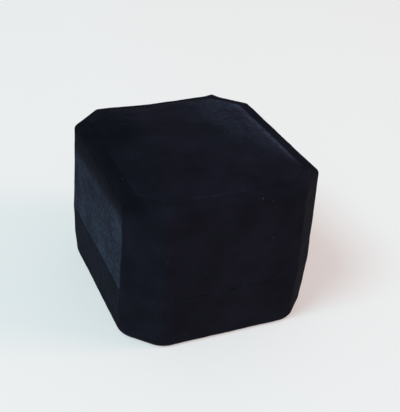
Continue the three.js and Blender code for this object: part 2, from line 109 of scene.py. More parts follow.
def round_corners(corners, reach, corner_steps, edge_steps):
    """A closed ring of points round a polygon whose corners are rounded over reach on each side.

    edge_steps(i, length) says how many steps the edge after corner i gets."""
    points = []
    for i, corner in enumerate(corners):
        after = corners[(i + 1) % len(corners)]
        start = toward(corner, corners[i - 1], reach)
        end = toward(corner, after, reach)
        for k in range(corner_steps + 1):
            t = k / corner_steps
            points.append((1 - t) ** 2 * start + 2 * t * (1 - t) * corner + t * t * end)
        goal = toward(after, corner, reach)
        steps = edge_steps(i, np.linalg.norm(goal - end))
        for k in range(1, steps):
            points.append(end + (goal - end) * k / steps)
    return np.array(points)


def cut_leg(inset):
    """The length of a corner cut's leg on the plan shrunk by inset."""
    return CORNER_CUT - inset * (2 - math.sqrt(2))


def outline(inset, edge_round=EDGE_ROUND):
    """The box's plan shrunk evenly by inset: a ring of points, anticlockwise, starting on the right."""
    x, y = HALF_X - inset, HALF_Y - inset
    leg = cut_leg(inset)
    corners = [
        (x, leg - y), (x, y - leg), (x - leg, y), (leg - x, y),
        (-x, y - leg), (-x, leg - y), (leg - x, -y), (x - leg, -y),
    ]
    corners = [np.array(c) for c in corners]
    reach = max(edge_round - inset, LEAST_ROUND) * math.tan(math.pi / 8)

    def edge_steps(i, _):
        return LONG_STEPS if i % 2 == 0 else SHORT_STEPS

    return round_corners(corners, reach, CORNER_STEPS, edge_steps)


def lid_lean(z):
    """How far the lid's wall stands in at height z."""
    return LID_LEAN * (z - SEAM)


def base_lean(z):
    """How far the base's wall stands in at height z."""
    return BASE_LEAN * (SEAM - z)


def no_lean(_):
    return 0.0


def even_round(_):
    return EDGE_ROUND


def foot_round(z):
    """The base's edge rounding at height z: its corners grow rounder towards the foot."""
    share = float(ease(-z, -FOOT_CORNER_HIGH, -FOOT_CORNER_LOW))
    return EDGE_ROUND + (FOOT_CORNER_ROUND - EDGE_ROUND) * share


def new_object(name, verts, faces):
    """A mesh object, linked to the scene."""
    mesh = bpy.data.meshes.new(name)
    mesh.from_pydata([tuple(v) for v in verts], [], faces)
    mesh.validate()
    mesh.update()
    obj = bpy.data.objects.new(name, mesh)
    bpy.context.scene.collection.objects.link(obj)
    return obj


def ring_faces(rings, sides, closed):
    """Quads between rings of points. With closed, the last ring joins the first."""
    spans = rings if closed else rings - 1
    faces = []
    for i in range(spans):
        low, high = i * sides, ((i + 1) % rings) * sides
        for j in range(sides):
            k = (j + 1) % sides
            faces.append((low + j, low + k, high + k, high + j))
    return faces


def sleeve(name, profile, lean, gap=0.0, edge_round=even_round):
    """A closed tube of fabric bent round the plan: profile is a closed loop of (depth, z, painted_light) points,
    painted_light being painted sheen above 0 and painted shade below 0.

    lean and edge_round give the plan at a height. With a gap, the tube stops that far on each side of
    the back's middle."""
    rings = []
    for depth, z, _ in profile:
        ring = outline(depth + lean(z), edge_round(z))
        rings.append(np.column_stack([ring, np.full(len(ring), z)]))
    faces = ring_faces(len(rings), len(rings[0]), True)
    if gap:
        rings, faces = open_rings(rings, gap)
    sides = len(rings[0])
    obj = new_object(name, np.concatenate(rings), faces)
    add_painted_light(obj, np.repeat([r for _, _, r in profile], sides))
    face_out(obj)
    return obj


def open_rings(rings, gap):
    """The rings cut open at the back's middle, and the faces of the capped tube that they make."""
    first = rings[0]
    behind = (np.abs(first[:, 0]) < gap) & (first[:, 1] > 0)
    start = int(np.nonzero(behind)[0].max()) + 1
    keep = [i % len(first) for i in range(start, start + len(first)) if not behind[i % len(first)]]
    rings = [ring[keep] for ring in rings]
    for ring in rings:
        ring[0, 0], ring[-1, 0] = -gap, gap
    count, sides = len(rings), len(keep)
    faces = []
    for i in range(count):
        low, high = i * sides, ((i + 1) % count) * sides
        faces += [(low + j, low + j + 1, high + j + 1, high + j) for j in range(sides - 1)]
    faces.append(tuple(i * sides for i in range(count)))
    faces.append(tuple(i * sides + sides - 1 for i in reversed(range(count))))
    return rings, faces


def add_painted_light(obj, values):
    """Sets the velvet material's painted light: painted sheen and highlights up to 1, painted shade down to -1."""
    attribute = obj.data.attributes.new("painted_light", "FLOAT", "POINT")
    attribute.data.foreach_set("value", np.asarray(values, np.float32))


def paint_light_and_shade(obj, share):
    """Adds share, a number or one for each point, to the painted light: painted sheen above 0, painted shade below
    0.
    """
    data = obj.data.attributes["painted_light"].data
    values = np.zeros(len(data))
    data.foreach_get("value", values)
    data.foreach_set("value", np.clip(values + share, -1, 1).astype(np.float32))


def facing(obj, direction):
    """1 where the surface faces within 11 degrees of direction, falling to 0 at 26 degrees."""
    return ease(normals(obj) @ np.array(direction) / np.linalg.norm(direction), 0.90, 0.98)


def ease(values, start, end):
    """0 before start and 1 after end, with a smooth climb between them."""
    t = np.clip((values - start) / (end - start), 0, 1)
    return t * t * (3 - 2 * t)


def face_out(obj):
    """Turns a closed mesh's faces outwards."""
    co, mesh = coords(obj), obj.data
    total = 0.0
    for poly in mesh.polygons:
        a, b, c = (co[poly.vertices[i]] for i in (0, 1, 2))
        total += np.dot(a, np.cross(b, c))
        if len(poly.vertices) == 4:
            total += np.dot(a, np.cross(c, co[poly.vertices[3]]))
    if total < 0:
        mesh.flip_normals()


def coords(obj):
    """The mesh's points as rows of an array."""
    co = np.zeros(len(obj.data.vertices) * 3)
    obj.data.vertices.foreach_get("co", co)
    return co.reshape(-1, 3)


def set_coords(obj, co):
    obj.data.vertices.foreach_set("co", np.asarray(co, np.float32).ravel())
    obj.data.update()


def normals(obj):
    """The mesh's point normals as rows of an array."""
    out = np.zeros(len(obj.data.vertices) * 3)
    obj.data.vertices.foreach_get("normal", out)
    return out.reshape(-1, 3)


def arc(centre, radius, start, end, steps, painted_light=0.0):
    """Profile points round centre from angle start to end, in degrees: 0 is inwards and 90 is up.

    painted_light, a painted highlight along the bend, is reached half way and falls to nothing at both ends."""
    points = []
    for k in range(steps + 1):
        angle = math.radians(start + (end - start) * k / steps)
        depth, z = centre[0] + radius * math.cos(angle), centre[1] + radius * math.sin(angle)
        points.append((depth, z, painted_light * math.sin(math.pi * k / steps)))
    return points


def line(start, end, steps):
    """Profile points from start to end, without either end."""
    return [
        (start[0] + (end[0] - start[0]) * k / steps, start[1] + (end[1] - start[1]) * k / steps, 0.0)
        for k in range(1, steps)
    ]


def waves(points, size, seed):
    """Smooth noise from -1 to 1 whose features are about size metres across."""
    shift = Vector((seed * 7.3, seed * 3.1, seed * 5.7))
    return np.array([noise.noise(Vector(p) / size + shift) for p in points])


def ruffle(obj, amount, size, seed, where=None):
    """Moves each point along its normal by smooth noise, as fabric lies on what it covers."""
    co = coords(obj)
    lift = amount * waves(co, size, seed)
    if where is not None:
        lift = lift * where(co)
    set_coords(obj, co + normals(obj) * lift[:, None])


def smooth(obj, angle=50):
    """Smooth shading, with edges sharper than angle degrees kept sharp."""
    obj.data.shade_smooth()
    bpy.context.view_layer.objects.active = obj
    obj.select_set(True)
    bpy.ops.object.shade_smooth_by_angle(angle=math.radians(angle))
    obj.select_set(False)


def trim_window(obj, rim, side):
    """Ends the turned-in fabric at the back wall, beside the hinge's leaf. side is 1 for the lid, else -1."""
    co = coords(obj)
    edge = HALF_Y - VELVET
    slack = 0.1 * MM
    past_turn = HALF_Y - 5 * MM
    inside = (np.abs(co[:, 0]) < WINDOW_HALF) & (co[:, 1] < edge) & (co[:, 1] > past_turn)
    inside &= (co[:, 2] - rim) * side < TURN_DEPTH + slack
    co[inside, 1] = edge
    co[inside, 2] = np.minimum((co[inside, 2] - rim) * side, VELVET) * side + rim
    set_coords(obj, co)


def strip_size(profile, lean=no_lean, gap=0.0):
    """The flat strip that makes a sleeve: as long as the plan's outline and as wide as its profile."""
    points = np.array([(d + lean(z), z) for d, z, _ in profile])
    wide = np.linalg.norm(points - np.roll(points, 1, axis=0), axis=1).sum() / 2
    plan = outline(VELVET / 2)
    long = np.linalg.norm(plan - np.roll(plan, 1, axis=0), axis=1).sum() - 2 * gap
    return float(long), float(wide)


def bevel_back(obj, side):
    """Lays the rim's fabric on the slanted back edge that lets the lid swing. side is 1 for the lid."""
    co = coords(obj)
    gap = 0.1 * MM
    behind = np.maximum(co[:, 1] - HINGE_Y, 0)
    limit = SEAM + side * (behind * BEVEL + gap)
    furthest = np.maximum if side > 0 else np.minimum
    co[:, 2] = np.where(behind > 0, furthest(co[:, 2], limit), co[:, 2])
    set_coords(obj, co)


def even_out(obj, size):
    """Rebuilds a closed mesh from even faces about size across, on which cloth wrinkles freely."""
    for kind, settings in (
        ("REMESH", {"mode": "VOXEL", "voxel_size": size}),
        ("SMOOTH", {"factor": 0.5, "iterations": 6}),
    ):
        modifier = obj.modifiers.new(kind.lower(), kind)
        for key, value in settings.items():
            setattr(modifier, key, value)
        bpy.context.view_layer.objects.active = obj
        bpy.ops.object.modifier_apply(modifier=modifier.name)


# --- Cloth ------------------------------------------------------------------------------------------
SIM_SCALE = 20  # the solver works best on pieces about a metre across
SIM_FRAMES = 20


def inflate(obj, pinned, pressure, cap, sink=0.1 * MM, slide=1.0, grow=0.0, stiffness=15.0):
    """Blows the fabric out against its held points with Blender's cloth, and keeps where it settles.

    pinned gives how firmly each point is held, 0 to 1. cap is the furthest that a point may move, and
    sink the furthest inwards. slide is the share of its sideways move that it keeps. grow is the share
    by which the cloth is cut too large, which wrinkles it."""
    rest = coords(obj)
    group = obj.vertex_groups.new(name="held")
    for index, weight in enumerate(pinned(rest)):
        group.add([index], float(weight), "REPLACE")
    set_coords(obj, rest * SIM_SCALE)
    modifier = obj.modifiers.new("cloth", "CLOTH")
    cloth = modifier.settings
    cloth.quality = 6
    cloth.mass = 0.3
    cloth.tension_stiffness = stiffness
    cloth.compression_stiffness = stiffness
    cloth.shear_stiffness = stiffness / 3
    cloth.bending_stiffness = 0.5
    cloth.use_pressure = True
    cloth.uniform_pressure_force = pressure
    cloth.shrink_min = -grow
    cloth.effector_weights.gravity = 0
    cloth.vertex_group_mass = group.name
    modifier.collision_settings.use_collision = False
    modifier.point_cache.frame_start = 1
    modifier.point_cache.frame_end = SIM_FRAMES
    scene = bpy.context.scene
    for f in range(1, SIM_FRAMES + 1):
        scene.frame_set(f)
    evaluated = obj.evaluated_get(bpy.context.evaluated_depsgraph_get())
    moved = coords(evaluated) / SIM_SCALE - rest
    obj.modifiers.remove(modifier)
    scene.frame_set(1)
    obj.vertex_groups.remove(group)
    length = np.linalg.norm(moved, axis=1, keepdims=True)
    moved *= np.minimum(1, cap / np.maximum(length, 1e-9))
    set_coords(obj, rest)
    out = normals(obj)
    rise = (moved * out).sum(axis=1)[:, None]
    sideways = moved - out * rise
    set_coords(obj, rest + slide * sideways + out * np.maximum(rise, -sink))


# --- Materials --------------------------------------------------------------------------------------
def new_material(name):
    """A material, its node tree and its shader."""
    material = bpy.data.materials.new(name)
    material.use_nodes = True
    shader = material.node_tree.nodes["Principled BSDF"]
    return material, material.node_tree, shader


def add(tree, kind, values=(), **settings):
    """A node of that kind: values fill its sockets by name, and settings are its own properties."""
    made = tree.nodes.new("ShaderNode" + kind)
    for key, value in settings.items():
        setattr(made, key, value)
    for key, value in dict(values).items():
        if hasattr(value, "is_output"):
            tree.links.new(value, made.inputs[key])
        else:
            made.inputs[key].default_value = value
    return made


def object_point(tree):
    """The shaded point in the object's own coordinates, which are in metres."""
    return add(tree, "TexCoord").outputs["Object"]


def noise_at(tree, size, detail=3.0, roughness=0.55, point=None):
    """Noise from 0 to 1 whose features are about size metres across."""
    vector = point if point is not None else object_point(tree)
    values = {"Vector": vector, "Scale": 1 / size, "Detail": detail, "Roughness": roughness}
    return add(tree, "TexNoise", values).outputs["Fac"]


def spread(tree, value, low, high, to_low=0.0, to_high=1.0):
    """value's span from low to high mapped to the span from to_low to to_high."""
    made = add(
        tree, "MapRange",
        {"Value": value, "From Min": low, "From Max": high, "To Min": to_low, "To Max": to_high},
    )
    return made.outputs["Result"]


def blend_colour(tree, share, a, b):
    """Colour a at share 0 and b at share 1."""
    made = add(tree, "Mix", data_type="RGBA")
    for socket, value in ((0, share), (6, a), (7, b)):
        if hasattr(value, "is_output"):
            tree.links.new(value, made.inputs[socket])
        else:
            made.inputs[socket].default_value = value
    return made.outputs[2]


def combine(tree, operation, a, b):
    return add(tree, "Math", {0: a, 1: b}, operation=operation).outputs[0]


def bump(tree, height, depth, strength=1.0, onto=None):
    """A bumped normal, on top of the one in onto."""
    values = {"Height": height, "Distance": depth, "Strength": strength}
    if onto is not None:
        values["Normal"] = onto
    return add(tree, "Bump", values).outputs["Normal"]


def rgb(red, green, blue):
    return (red, green, blue, 1.0)


def velvet_material():
    """Short-pile velvet: nearly black, with brushed patches and lint, plus painted sheen and highlights in a
    lighter colour and painted shade in a darker one.
    """
    material, tree, shader = new_material("velvet")
    nap = noise_at(tree, 9 * MM, detail=4, roughness=0.6)
    mottle = noise_at(tree, 1.0 * MM, detail=4, roughness=0.7)
    pile = noise_at(tree, 0.45 * MM, detail=3, roughness=0.7)
    painted_light = add(tree, "Attribute", attribute_name="painted_light").outputs["Fac"]
    # The first colour is painted shade; the fourth is a lighter colour for painted sheen and highlights.
    painted_shade = rgb(0.0032, 0.0036, 0.0058)
    deep = rgb(0.0088, 0.0086, 0.0140)
    brushed = rgb(0.0138, 0.0135, 0.0224)
    painted_sheen = rgb(0.044, 0.057, 0.092)
    dust = rgb(0.050, 0.055, 0.070)
    broad_patch = spread(tree, nap, 0.36, 0.68)
    grain = spread(tree, pile, 0.25, 0.75, 0.35, 1.3)
    colour = blend_colour(tree, combine(tree, "MULTIPLY", broad_patch, grain), deep, brushed)
    # Painted shade where the painted-light attribute is below 0.
    colour = blend_colour(tree, spread(tree, painted_light, 0.0, -1.0), colour, painted_shade)
    # Painted sheen and highlights where the painted-light attribute is above 0, broken into clumps and bright
    # tips.
    uneven = spread(tree, nap, 0.38, 0.60, 0.55, 1.1)
    painted_sheen_amount = combine(tree, "MULTIPLY", spread(tree, painted_light, 0.0, 1.0), uneven)
    clumps = spread(tree, mottle, 0.36, 0.64, 0.15, 1.3)
    tips = spread(tree, pile, 0.58, 0.70, 0, 1.4)
    painted_sheen_share = combine(tree, "MULTIPLY", painted_sheen_amount, combine(tree, "ADD", clumps, tips))
    colour = blend_colour(tree, painted_sheen_share, colour, painted_sheen)
    scatter = {"Vector": object_point(tree), "Scale": 1 / (3.4 * MM), "Randomness": 1.0}
    specks = add(tree, "TexVoronoi", scatter)
    lint = spread(tree, specks.outputs["Distance"], 0.07, 0.03)
    rare = spread(tree, specks.outputs["Color"], 0.60, 0.72)
    colour = blend_colour(tree, combine(tree, "MULTIPLY", lint, rare), colour, dust)
    tree.links.new(colour, shader.inputs["Base Color"])
    shader.inputs["Roughness"].default_value = 0.95
    shader.inputs["Specular IOR Level"].default_value = 0.03
    shader.inputs["Sheen Weight"].default_value = 0.055
    shader.inputs["Sheen Roughness"].default_value = 0.22
    shader.inputs["Sheen Tint"].default_value = rgb(0.50, 0.62, 1.0)
    crush = bump(tree, noise_at(tree, 3.2 * MM, detail=3), 0.30 * MM, 0.8)
    tuft = bump(tree, mottle, 0.22 * MM, 0.8, onto=crush)
    fuzz = bump(tree, pile, 0.12 * MM, 0.9, onto=tuft)
    tree.links.new(fuzz, shader.inputs["Normal"])
    return material


def satin_material():
    """Smooth woven satin with a soft, directional sheen and fine threads."""
    material, tree, shader = new_material("satin")
    shade = spread(tree, noise_at(tree, 6 * MM), 0.35, 0.65)
    colour = blend_colour(tree, shade, rgb(0.016, 0.020, 0.045), rgb(0.026, 0.032, 0.066))
    tree.links.new(colour, shader.inputs["Base Color"])
    shader.inputs["Roughness"].default_value = 0.34
    shader.inputs["Anisotropic"].default_value = 0.5
    shader.inputs["Sheen Weight"].default_value = 0.15
    shader.inputs["Sheen Roughness"].default_value = 0.4
    threads = add(
        tree, "TexWave",
        {"Vector": object_point(tree), "Scale": 1 / (0.5 * MM) / 6.3, "Distortion": 1.2, "Detail": 2.0},
        bands_direction="X",
    )
    weave = bump(tree, threads.outputs["Fac"], 0.02 * MM, 0.5)
    slubs = bump(tree, noise_at(tree, 1.2 * MM), 0.05 * MM, 0.5, onto=weave)
    tree.links.new(slubs, shader.inputs["Normal"])
    return material


def suede_paper_material():
    """Black paper with a fine napped face."""
    material, tree, shader = new_material("suede_paper")
    flock = noise_at(tree, 0.5 * MM, detail=4)
    colour = blend_colour(tree, flock, rgb(0.006, 0.006, 0.009), rgb(0.018, 0.018, 0.024))
    tree.links.new(colour, shader.inputs["Base Color"])
    shader.inputs["Roughness"].default_value = 0.92
    shader.inputs["Specular IOR Level"].default_value = 0.2
    tree.links.new(bump(tree, noise_at(tree, 0.25 * MM, detail=4), 0.05 * MM), shader.inputs["Normal"])
    return material


def shell_material():
    """Injection-moulded polystyrene with a faint flow texture."""
    material, tree, shader = new_material("moulded_shell")
    colour = blend_colour(tree, noise_at(tree, 5 * MM), rgb(0.010, 0.010, 0.012), rgb(0.017, 0.017, 0.020))
    tree.links.new(colour, shader.inputs["Base Color"])
    flow = spread(tree, noise_at(tree, 1.5 * MM), 0.3, 0.7, 0.38, 0.55)
    tree.links.new(flow, shader.inputs["Roughness"])
    tree.links.new(bump(tree, noise_at(tree, 0.8 * MM), 0.02 * MM), shader.inputs["Normal"])
    return material


def card_material():
    """Grey-brown board with short fibres."""
    material, tree, shader = new_material("card")
    fibres = noise_at(tree, 0.7 * MM, detail=6, roughness=0.7)
    shade = spread(tree, fibres, 0.3, 0.7)
    colour = blend_colour(tree, shade, rgb(0.16, 0.135, 0.10), rgb(0.30, 0.26, 0.20))
    tree.links.new(colour, shader.inputs["Base Color"])
    shader.inputs["Roughness"].default_value = 0.9
    tree.links.new(bump(tree, fibres, 0.06 * MM), shader.inputs["Normal"])
    return material


def foam_material():
    """Grey open-cell foam."""
    material, tree, shader = new_material("foam")
    cells = add(tree, "TexVoronoi", {"Vector": object_point(tree), "Scale": 1 / (0.5 * MM)})
    shade = spread(tree, cells.outputs["Distance"], 0.1, 0.7)
    colour = blend_colour(tree, shade, rgb(0.10, 0.10, 0.11), rgb(0.32, 0.32, 0.33))
    tree.links.new(colour, shader.inputs["Base Color"])
    shader.inputs["Roughness"].default_value = 0.95
    tree.links.new(bump(tree, cells.outputs["Distance"], 0.2 * MM), shader.inputs["Normal"])
    return material


def steel_material():
    """Bright rolled steel with lengthwise brushing and a little tarnish."""
    material, tree, shader = new_material("steel")
    lengthwise = (0.06, 1.0, 1.0)
    stretched = add(tree, "Mapping", {"Vector": object_point(tree), "Scale": lengthwise}).outputs["Vector"]
    brushed = noise_at(tree, 0.12 * MM, detail=3, point=stretched)
    tarnish = spread(tree, noise_at(tree, 4 * MM, detail=4), 0.45, 0.75)
    colour = blend_colour(tree, tarnish, rgb(0.56, 0.56, 0.57), rgb(0.36, 0.34, 0.32))
    tree.links.new(colour, shader.inputs["Base Color"])
    shader.inputs["Metallic"].default_value = 1.0
    tree.links.new(spread(tree, brushed, 0.3, 0.7, 0.22, 0.42), shader.inputs["Roughness"])
    tree.links.new(bump(tree, brushed, 0.01 * MM), shader.inputs["Normal"])
    return material


def floor_material():
    """A plain pale surface that glows a little, so that its shadows stay light."""
    material, tree, shader = new_material("floor")
    colour = blend_colour(tree, noise_at(tree, 300 * MM), rgb(0.61, 0.61, 0.61), rgb(0.64, 0.64, 0.64))
    tree.links.new(colour, shader.inputs["Base Color"])
    shader.inputs["Roughness"].default_value = 0.75
    shader.inputs["Specular IOR Level"].default_value = 0.25
    shader.inputs["Emission Color"].default_value = rgb(1.0, 0.955, 0.93)
    shader.inputs["Emission Strength"].default_value = 0.415
    return material


MATERIALS = {
    "velvet": velvet_material(),
    "satin": satin_material(),
    "suede_paper": suede_paper_material(),
    "moulded_shell": shell_material(),
    "card": card_material(),
    "foam": foam_material(),
    "steel": steel_material(),
}


def finish_piece(obj, slot, body=None, nodes=()):
    """Gives a piece its material and its body, and hides the CAD nodes that it stands for."""
    obj.data.materials.clear()
    obj.data.materials.append(MATERIALS[slot])
    if body:
        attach(obj, body)
    if nodes:
        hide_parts(*nodes)


# --- Pieces -----------------------------------------------------------------------------------------
def turned_rim(rim, side):
    """Profile points round the rim, up inside the shell's wall and back. side is 1 for the lid, else -1."""
    inner = TURN_IN - TURN_ROUND
    turn_end = rim + side * TURN_DEPTH
    # A faint painted highlight runs along the hem's bend.
    points = arc((HEM_ROUND, rim + side * HEM_ROUND), HEM_ROUND, 180, 180 + side * 90, 6, painted_light=0.12)
    points += line((HEM_ROUND, rim), (inner, rim), 4)
    points += arc((inner, rim + side * TURN_ROUND), TURN_ROUND, side * -90, 0, 3)
    points += line((TURN_IN, rim + side * TURN_ROUND), (TURN_IN, turn_end), 5)
    points += [(TURN_IN, turn_end, 0), (TURN_OUT, turn_end, 0)]
    points += line((TURN_OUT, turn_end), (TURN_OUT, rim + side * VELVET), 3)
    points += [(TURN_OUT, rim + side * VELVET, 0), (VELVET, rim + side * VELVET, 0)]
    return points


def lid_wrap():
    """The lid's velvet: from under the top panel's edge, over the border, down the walls and up inside."""
    rim, top = lid_low.z - PILE, BORDER_Z
    shoulder = 1.5 * MM
    panel = 3.4 * MM
    hidden = (panel + 3 * MM, top - 0.35 * MM)
    under_panel = (panel + 0.6 * MM, top - 0.2 * MM)
    panel_edge = (panel - 0.2 * MM, top - 0.05 * MM)
    profile = [(hidden[0], top - VELVET, 0), (*hidden, 0)]
    profile += line(hidden, under_panel, 5)
    profile += [(*under_panel, 0), (*panel_edge, 0)]
    profile += line(panel_edge, (shoulder, top), 5)
    profile += arc((shoulder, top - shoulder), shoulder, 90, 180, 10)
    profile += line((0, top - shoulder), (0, rim + HEM_ROUND), 30)
    profile += turned_rim(rim, 1)
    profile += line((VELVET, rim + VELVET), (VELVET, top - 2 * VELVET), 6)
    profile += [(VELVET, top - 2 * VELVET, 0), (2 * VELVET, top - VELVET, 0)]
    obj = sleeve("lid_velvet_wrap", profile, lid_lean)
    bevel_back(obj, 1)
    settle_border(obj)
    # Paints sheen low on the left wall and shade above it, on the left top border and on the front-right cut.
    paint_light_and_shade(obj, lid_painted_light(obj))
    ruffle(obj, 0.10 * MM, 7 * MM, 1)
    ruffle(obj, 0.05 * MM, 2.2 * MM, 2)
    trim_window(obj, rim, 1)
    smooth(obj)
    finish_piece(obj, "velvet", "lid", ["lid_velvet"])
    strip_size(profile, lid_lean)


def settle_border(obj):
    """The top border's back sags between its corners, and one fold stands proud at its right end."""
    fold_rise, fold_width, fold_inset = 0.40 * MM, 1.5 * MM, 0.8 * MM
    sag_depth, sag_offset = 0.42 * MM, 1.5 * MM
    co = coords(obj)
    at_back = ease(co[:, 1], 22 * MM, HALF_Y - 1 * MM)
    at_top = ease(co[:, 2], BORDER_Z - 5 * MM, BORDER_Z - 0.5 * MM)
    reach = HALF_X - CORNER_CUT
    sag = np.cos(np.clip((co[:, 0] + sag_offset) / reach, -1, 1) * math.pi / 2) ** 2
    fold = np.exp(-(((co[:, 0] - reach + fold_inset) / fold_width) ** 2))
    co[:, 2] += at_back * at_top * (fold_rise * fold - sag_depth * sag)
    set_coords(obj, co)


def lid_painted_light(obj):
    """The lid's painted light: painted sheen on the left wall below a line and painted shade above it, with
    painted shade on the left of the top border and on the front-right cut.
    """
    stroke_top, stroke_slope = 34.5 * MM, 0.05
    co = coords(obj)
    x, y, z = co.T
    below_line = stroke_top - stroke_slope * y - z
    painted_sheen_part = 1.1 * ease(below_line, -1 * MM, 2.5 * MM) + 0.3 * ease(below_line - 0.4 * y, 0, 20 * MM)
    at_left = ease(-x, HALF_X - 6 * MM, HALF_X - 3 * MM)
    at_top = ease(z, BORDER_Z - 4 * MM, BORDER_Z - 2 * MM)
    # Painted sheen below the line, painted shade above it.
    wall = facing(obj, LEFT) * (painted_sheen_part - 0.75)
    # Painted shade on the left top border and on the front-right cut.
    return wall - 0.5 * at_left * at_top - 0.8 * facing(obj, FRONT_RIGHT)


def base_wrap():
    """The base's velvet: from under the edge, up the walls, over the rim and down inside."""
    rim, bottom = base_high.z + PILE, base_low.z
    under = bottom + 0.5 * MM
    foot = 1.0 * MM
    flap = (6 * MM, under)
    cover_edge = (1.9 * MM, under)
    step_down = (1.7 * MM, bottom + 0.1 * MM)
    profile = [(flap[0], under + VELVET, 0), (*flap, 0)]
    profile += line(flap, cover_edge, 4)
    profile += [(*cover_edge, 0), (*step_down, 0)]
    # A painted highlight runs along the foot's rounded edge.
    profile += arc((foot, bottom + foot), foot, 270, 180, 10, painted_light=0.25)
    profile += line((0, bottom + foot), (0, rim - HEM_ROUND), 18)
    profile += turned_rim(rim, -1)
    profile += line((VELVET, rim - VELVET), (VELVET, under + 2 * VELVET), 5)
    profile += [(VELVET, under + 2 * VELVET, 0), (2 * VELVET, under + VELVET, 0)]
    obj = sleeve("base_velvet_wrap", profile, base_lean, edge_round=foot_round)
    bevel_back(obj, -1)
    # Painted shade on the left wall and on the front-right cut.
    paint_light_and_shade(obj, -0.45 * facing(obj, LEFT) - 0.8 * facing(obj, FRONT_RIGHT))
    ruffle(obj, 0.10 * MM, 7 * MM, 3)
    ruffle(obj, 0.05 * MM, 2.2 * MM, 4)
    trim_window(obj, rim, -1)
    smooth(obj)
    finish_piece(obj, "velvet", "base", ["base_velvet"])
    strip_size(profile, base_lean)


def octagon_norm(points, half_x, half_y, leg):
    """0 in the middle of a cut-corner rectangle and about 1 on its edge, with softened corners."""
    power = 9
    x, y = np.abs(points[:, 0]), np.abs(points[:, 1])
    diagonal = (x + y) / (half_x + half_y - leg)
    return ((x / half_x) ** power + (y / half_y) ** power + diagonal**power) ** (1 / power)


def pad_mesh(name, inset, foot, skirt, edge_rise, edge_width, crown, direction):
    """A crowned pad that climbs softly from its edge at height foot, with a skirt reaching behind the edge.

    direction is 1 for a pad that rises and -1 for one that hangs."""
    edge_rings, crown_rings = 12, 24
    edge_reach = 3.6 * edge_width
    shrink, fall_power = 0.96, 2.3
    half_x, half_y = HALF_X - inset, HALF_Y - inset
    leg = cut_leg(inset)
    depths = [edge_reach * (k / edge_rings) ** 1.5 for k in range(edge_rings + 1)]
    scales = [1 - shrink * k / crown_rings for k in range(1, crown_rings + 1)]
    rims = [outline(inset + d) for d in depths]
    rings = rims + [rims[-1] * scale for scale in scales]
    depths += [depths[-1] + (1 - scale) * half_x for scale in scales]
    loops = [np.column_stack([rims[0], np.full(len(rims[0]), foot - direction * skirt)])]
    for ring, depth in zip(rings, depths):
        edge = edge_rise * (1 - math.exp(-depth / edge_width))
        outwards = np.minimum(octagon_norm(ring, half_x, half_y, leg), 1.0)
        rise = edge + crown * (1 - outwards**fall_power)
        loops.append(np.column_stack([ring, foot + direction * rise]))
    sides = len(rims[0])
    verts = np.concatenate(loops)
    last = (len(loops) - 1) * sides
    middle = len(verts)
    verts = np.vstack([verts, verts[last:].mean(axis=0), [0, 0, foot - direction * skirt]])
    faces = ring_faces(len(loops), sides, False)
    for j in range(sides):
        k = (j + 1) % sides
        faces.append((last + j, last + k, middle))
        faces.append((k, j, middle + 1))
    obj = new_object(name, verts, faces)
    add_painted_light(obj, np.zeros(len(verts)))
    face_out(obj)
    return obj


def panel_painted_light(co):
    """The panel's painted light: a painted highlight along its right edge, painted sheen over its right part, a
    thin painted highlight along its front edge, and painted shade at its left.
    """
    half_x, half_y = panel_high.x, panel_high.y
    x, y, _ = co.T
    from_right = half_x - x
    from_cut = (half_x + half_y - PANEL_CUT - np.abs(x) - np.abs(y)) / math.sqrt(2)
    from_front = np.minimum(half_y + y, from_cut)
    # A painted highlight along the right edge.
    painted_edge_highlight = np.exp(-(((from_right - 1.4 * MM) / (1.0 * MM)) ** 2))
    painted_edge_highlight *= ease(y, -half_y + 6 * MM, -half_y + 16 * MM)
    # Painted sheen over the right part.
    painted_sheen_part = 0.55 * ease(-from_right, -22 * MM, -1 * MM) * ease(y, -20 * MM, 8 * MM)
    # A thin painted highlight along the front edge.
    painted_front_highlight = np.exp(-((from_front / (0.3 * MM)) ** 2)) * ease(-x, -14 * MM, 2 * MM) * (y < 0)
    # Painted shade at the left.
    painted_shade = ease(-half_x - x, -14 * MM, -4 * MM) * ease(y, -8 * MM, 10 * MM)
    return painted_edge_highlight + painted_sheen_part + 0.18 * painted_front_highlight - 0.6 * painted_shade


def top_panel():
    """The crowned panel in the lid's top: foam under velvet that is drawn down round its edge."""
    foot = BORDER_Z - 0.02 * MM
    skirt, edge_rise, edge_width = 0.15 * MM, 0.85 * MM, 1.0 * MM
    swell = 0.15 * MM
    crown = panel_high.z - foot - edge_rise - swell

    def held(co):
        return np.clip((foot + 0.2 * MM - co[:, 2]) / (0.3 * MM), 0, 1)

    def above_foot(co):
        return np.clip((co[:, 2] - foot) / edge_rise, 0, 1)

    obj = pad_mesh("top_panel_pad", HALF_X - panel_high.x, foot, skirt, edge_rise, edge_width, crown, 1)
    # Painted highlights, painted sheen and painted shade on the panel's velvet.
    paint_light_and_shade(obj, panel_painted_light(coords(obj)))
    inflate(obj, held, pressure=1.6, cap=0.3 * MM, sink=0.0, slide=0.0)
    ruffle(obj, 0.08 * MM, 6 * MM, 5, where=above_foot)
    smooth(obj)
    finish_piece(obj, "velvet", "lid", ["top_panel_velvet"])


